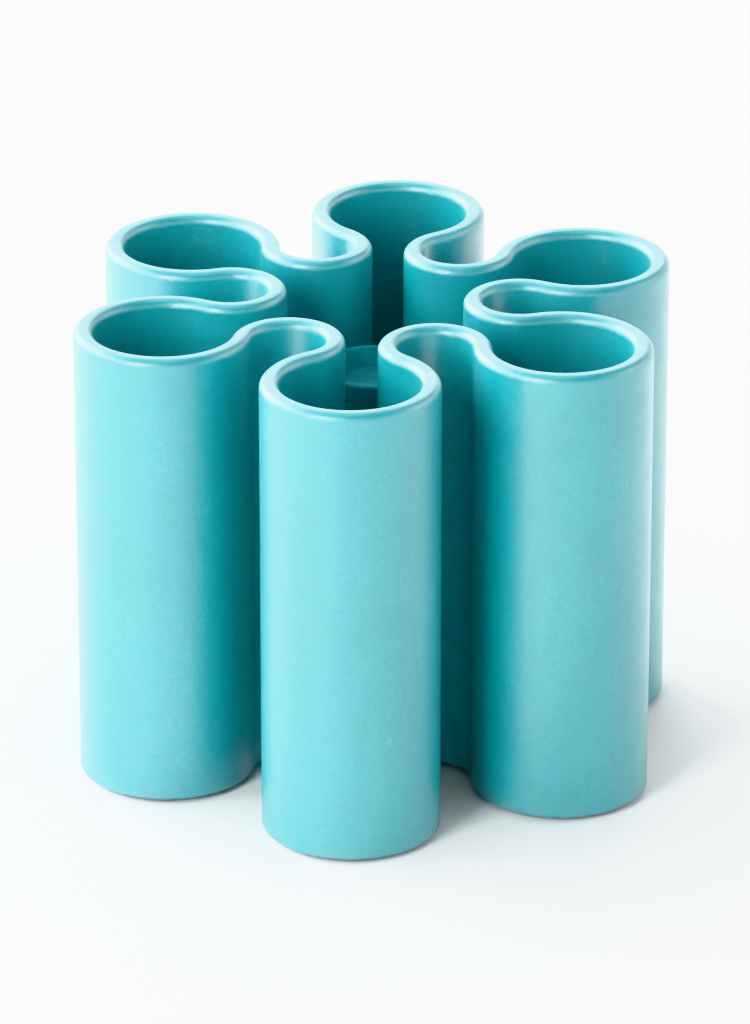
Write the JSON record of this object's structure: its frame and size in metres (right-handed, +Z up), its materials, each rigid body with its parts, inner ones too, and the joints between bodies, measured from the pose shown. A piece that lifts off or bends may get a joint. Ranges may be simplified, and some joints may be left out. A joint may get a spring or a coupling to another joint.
{
  "type": "umbrella stand",
  "caption": "Compact floor stand for stick umbrellas: a sinuous wall winds round a ring of round sockets like a flower, with a raised seat on a post in the middle and a steel base plate.",
  "frame": {"origin": "centre of the footprint on the floor, on the stand's vertical axis", "axes": "+Z up along the stand's axis; -Y through the lobe that faces the viewer; +X to the viewer's right"},
  "size_m": [0.1116, 0.1236, 0.0936],
  "materials": {
    "teal_moulding": "satin moulded plastic, fine grain",
    "teal_rubber": "matt moulded rubber",
    "black_rubber": "matt",
    "zinc_steel": "zinc plated",
    "bar_steel": "turned",
    "screw_steel": "plated socket screw"
  },
  "bodies": {
    "root": {"lobed_shell": "teal_moulding", "ballast_plate": "zinc_steel", "centre_screw": "screw_steel", "post_bar": "bar_steel", "post_sleeve": "teal_moulding", "post_seat": "teal_rubber", "tip_cup_1": "teal_rubber", "foot_pad_1": "black_rubber", "tip_cup_2": "teal_rubber", "foot_pad_2": "black_rubber", "tip_cup_3": "teal_rubber", "foot_pad_3": "black_rubber", "tip_cup_4": "teal_rubber", "foot_pad_4": "black_rubber", "tip_cup_5": "teal_rubber", "foot_pad_5": "black_rubber", "tip_cup_6": "teal_rubber", "foot_pad_6": "black_rubber"}
  },
  "joints": []
}
